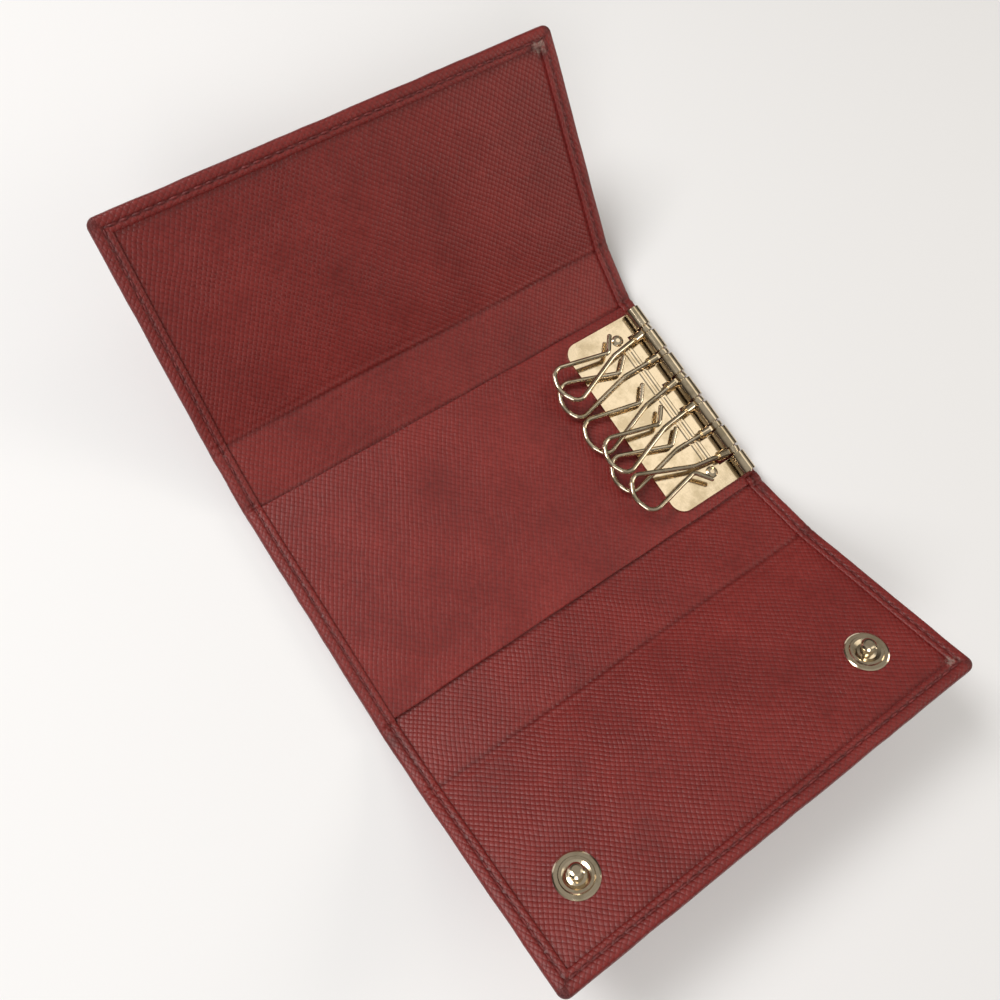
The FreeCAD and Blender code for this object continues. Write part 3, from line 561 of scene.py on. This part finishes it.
# ---------------------------------------------------------------- stitches
def add_stitch(bm, fold, start, end, height, is_under):
    """One stitch: a short fat thread that arches between its two holes."""
    rings, around = 7, 8
    sign = -1 if is_under else 1
    way = np.array(end) - np.array(start)
    length = np.linalg.norm(way)
    way = way / length
    across = np.array([-way[1], way[0]])
    loops = []
    for i in range(rings):
        t = i / (rings - 1)
        arch = math.sin(math.pi * t)
        radius = THREAD_RADIUS * (0.35 + 0.65 * arch ** 0.5)
        centre = np.array(start) + way * length * t
        lift = height + sign * (0.24 * arch - 0.16)
        loop = []
        for k in range(around):
            turn = 2 * math.pi * k / around
            side = centre + across * radius * 1.15 * math.cos(turn)
            point = fold.place(side[0], side[1], lift + radius * 0.8 * math.sin(turn))
            loop.append(bm.verts.new(point))
        loops.append(loop)
    for one, two in zip(loops, loops[1:]):
        for k in range(around):
            nxt = (k + 1) % around
            bm.faces.new((one[k], one[nxt], two[nxt], two[k])).smooth = True
    bm.faces.new(loops[0])
    bm.faces.new(loops[-1])


def make_thread(name, fold, start, end, is_flap):
    """The seam's stitches on both faces of one stretch of the case."""
    bm = bmesh.new()
    limit = HALF_WIDTH - STITCH_INSET
    first = math.ceil((start + 0.35) / STITCH_PITCH) * STITCH_PITCH
    last = (fold.length - STITCH_INSET) if is_flap else end
    rows = []
    for side in (-1, 1):
        v = first
        while v + STITCH_LENGTH < last - 0.2:
            rows.append(((side * limit, v), (side * (limit - 0.06), v + STITCH_LENGTH)))
            v += STITCH_PITCH
    if is_flap:
        count = int((2 * limit - 1.0) / STITCH_PITCH)
        x = -count * STITCH_PITCH / 2
        for _ in range(count):
            rows.append(((x + 0.3, last), (x + 0.3 + STITCH_LENGTH, last - 0.06)))
            x += STITCH_PITCH
    for a, b in rows:
        x, v = (a[0] + b[0]) / 2, (a[1] + b[1]) / 2
        hidden = x > 0 and v < FRAME_HALF_LENGTH + 1.2
        top = float(border_height(fold, np.float64(x), np.float64(v)))
        if not hidden:
            add_stitch(bm, fold, a, b, top - 0.1, False)
        add_stitch(bm, fold, a, b, COVER_BOTTOM + 0.25, True)
    return finish_mesh(name, bm, THREAD, 60)


# ---------------------------------------------------------------- the leather case
# Patches of wear on each side: which kind (0 dark rubbing, 1 pale scuff, 2 fold shadow), the flat
# place across and along from the centre (negative counts back from the edge), radius and strength.
WEAR = {
    "top": (
        (0, 54.3, -0.8, 1.6, 0.9), (0, -54.3, -0.8, 1.6, 0.8), (1, 50.6, -3.8, 3.2, 1.0),
        (0, 48.6, -3.4, 1.2, 1.0), (0, 50.9, -5.6, 1.3, 1.0), (0, 53.6, 44.0, 2.0, 0.5),
        (0, 53.0, 29.5, 1.8, 0.6), (0, -53.0, 29.0, 1.6, 0.5), (0, 54.8, 60.0, 2.2, 0.4),
    ),
    "bottom": (
        (0, 54.3, -0.7, 1.5, 1.0), (0, -54.3, -0.7, 1.8, 0.9), (1, 50.8, -3.8, 2.2, 1.0),
        (1, 52.6, -3.2, 1.3, 0.9), (0, 50.2, -5.2, 1.0, 0.6), (0, 53.4, 30.0, 2.0, 0.7),
        (0, -53.8, 31.0, 1.8, 0.6), (1, 54.7, 34.0, 1.5, 0.7), (0, 53.8, 45.0, 1.8, 0.5),
    ),
}


def hinge_line(fold, crease):
    """Where a bend starts and ends, as two points in metres on the lining's top at rest."""
    ends = [fold.place(0.0, crease + reach, 0.0) for reach in (-BEND_HALF, BEND_HALF)]
    return [tuple(float(c) for c in end) for end in ends]


for side in ("top", "bottom"):
    fold = Fold(side)
    middle, spine, flap = BODIES[side]
    seam = SEAMS[side]
    stretches = (
        ("hinge", 0.0, seam, False, middle, spine, fold.creases[0][0]),
        ("flap", seam, fold.length, True, spine, flap, fold.creases[1][0]),
    )
    for part, start, end, is_flap, one, two, crease in stretches:
        cover = make_cover(f"leather_cover_{side}_{part}", fold, start, end, is_flap)
        lining = make_lining(f"leather_lining_{side}_{part}", fold, start, end, is_flap)
        thread = make_thread(f"stitching_{side}_{part}", fold, start, end, is_flap)
        add_wear_and_crease_shade(cover, fold)
        add_wear_and_crease_shade(lining, fold)
        for piece in (cover, lining, thread):
            line = hinge_line(fold, crease)
            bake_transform(piece)
        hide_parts(f"{one}_cover".replace("case_", ""), f"{two}_cover")
        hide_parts(f"{one}_lining".replace("case_", ""), f"{two}_lining")


def make_patch():
    """The slip pocket: one leather patch over the middle, open along its two long edges."""
    low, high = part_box("slip_pocket")
    bm, layers = new_bmesh()
    x_end = high.x / MM
    y_end = high.y / MM
    bottom = low.z / MM
    rows = [(1.2, 0.0), (0.25, 0.0), (0.05, 0.1), (0.0, 0.3), (0.05, 0.5), (0.22, 0.585)]
    rows += [(0.6, 0.6), (1.2, 0.6)]
    xs = np.linspace(-x_end, x_end, 130)
    lines, flats, edges = [], [], []
    for x in xs:
        section = []
        for end in (-1, 1):
            half = [(end * (y_end - d - 0.04 * (1 + math.sin(x * 0.31 + end))), h) for d, h in rows]
            section += half if end == 1 else half[::-1]
        turned = section[:8] + [(y, 0.0) for y in np.linspace(-y_end + 2, y_end - 2, 60)] + section[8:]
        upper = [(y, 0.6) for y in np.linspace(y_end - 2, -y_end + 2, 60)]
        loop = turned + upper
        loop = loop + [loop[0]]
        line, flat, edge = [], [], []
        for y, h in loop:
            lift = 0.05 * float(ripple(np.float64(x), np.float64(y), 27.0, 8)) if h > 0.4 else 0.0
            free = 0.10 * math.exp(-((y_end - abs(y)) / 2.0) ** 2) * (0.6 + 0.4 * math.sin(x / 11.0))
            line.append((x * MM, y * MM, (bottom + h + lift + (free if h > 0.0 else 0.0)) * MM))
            flat.append((x / 100 + 0.37, y / 100 + 0.21))
            edge.append((0.5, y / 100))
        lines.append(line)
        flats.append(flat)
        edges.append(edge)
    add_grid(bm, layers, np.array(lines), np.array(flats), np.array(edges))
    patch = finish_mesh("leather_slip_pocket", bm, LINING_LEATHER)
    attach(patch, "case_middle")
    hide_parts("slip_pocket")


make_patch()

# ---------------------------------------------------------------- metal parts
for name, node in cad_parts.items():
    if node.hide_render:
        continue
    if "board" in name:
        look = BOARD
    elif "hook" in name and "swivel" not in name:
        look = WIRE
    else:
        look = NICKEL
    for slot in node.material_slots:
        slot.material = look

# ---------------------------------------------------------------- floor, light, camera
def make_floor():
    """A broad flat pale floor, far larger than the view."""
    bm = bmesh.new()
    quarters = ((-1, -1), (1, -1), (1, 1), (-1, 1))
    corners = [bm.verts.new((x * FLOOR_HALF, y * FLOOR_HALF, 0.0)) for x, y in quarters]
    bm.faces.new(corners)
    mesh = bpy.data.meshes.new("floor")
    bm.to_mesh(mesh)
    bm.free()
    floor = bpy.data.objects.new("floor", mesh)
    bpy.context.scene.collection.objects.link(floor)
    n = Nodes("pale_floor")
    n.shader.inputs["Base Color"].default_value = (0.86, 0.875, 0.90, 1.0)
    n.shader.inputs["Roughness"].default_value = 0.8
    mesh.materials.append(n.material)


def area_light(name, place, target, size, power, colour):
    data = bpy.data.lights.new(name, "AREA")
    data.shape = "RECTANGLE"
    data.size, data.size_y = size
    data.energy = power
    data.color = colour
    lamp = bpy.data.objects.new(name, data)
    lamp.location = place
    lamp.rotation_euler = (Vector(target) - Vector(place)).to_track_quat("-Z", "Y").to_euler()
    bpy.context.scene.collection.objects.link(lamp)


def make_world():
    """A pale room that is brightest overhead and darker round the horizon, for the metal to reflect."""
    world = bpy.data.worlds.new("studio")
    world.use_nodes = True
    tree = world.node_tree
    coords = tree.nodes.new("ShaderNodeTexCoord")
    split = tree.nodes.new("ShaderNodeSeparateXYZ")
    ramp = tree.nodes.new("ShaderNodeValToRGB")
    tree.links.new(coords.outputs["Generated"], split.inputs[0])
    tree.links.new(split.outputs["Z"], ramp.inputs["Fac"])
    tree.links.new(ramp.outputs["Color"], tree.nodes["Background"].inputs["Color"])
    stops = (
        (0.0, (0.10, 0.09, 0.08)),
        (0.35, (0.16, 0.14, 0.12)),
        (0.62, (0.62, 0.58, 0.52)),
        (1.0, (0.95, 0.92, 0.86)),
    )
    while len(ramp.color_ramp.elements) < len(stops):
        ramp.color_ramp.elements.new(0.5)
    for element, (position, colour) in zip(ramp.color_ramp.elements, stops):
        element.position = position
        element.color = (*colour, 1.0)
    tree.nodes["Background"].inputs["Strength"].default_value = 0.45
    bpy.context.scene.world = world


make_floor()
make_world()
CENTRE = (0.0, 0.0, 0.01)
area_light("overhead_softbox", (0.34, 0.09, 0.57), CENTRE, (0.22, 0.22), 0.15, (1.0, 0.93, 0.80))
area_light("key_softbox", (-0.30, 0.42, 0.62), CENTRE, (0.35, 0.25), 3.8, (1.0, 0.97, 0.94))
area_light("side_softbox", (0.58, -0.27, 0.32), CENTRE, (0.30, 0.22), 1.1, (1.0, 0.92, 0.82))
area_light("left_softbox", (-0.45, -0.38, 0.55), CENTRE, (0.40, 0.30), 2.2, (1.0, 0.97, 0.94))

EYE = Vector((-72.17, -33.61, 211.64)) * MM
AIM = Vector((-3.43, 1.51, 0.0)) * MM
CAMERA_TURN = math.radians(34.14)
ahead = (AIM - EYE).normalized()
right = ahead.cross(Vector((math.sin(CAMERA_TURN), math.cos(CAMERA_TURN), 0.0))).normalized()
up = right.cross(ahead)
camera_data = bpy.data.cameras.new("camera")
camera_data.lens = 34.67
camera_data.sensor_width = 36.0
camera_data.clip_start = 0.005
camera = bpy.data.objects.new("camera", camera_data)
camera.matrix_world = Matrix.Translation(EYE) @ Matrix((right, up, -ahead)).transposed().to_4x4()
bpy.context.scene.collection.objects.link(camera)
bpy.context.scene.camera = camera
bpy.context.scene.view_settings.view_transform = "Standard"
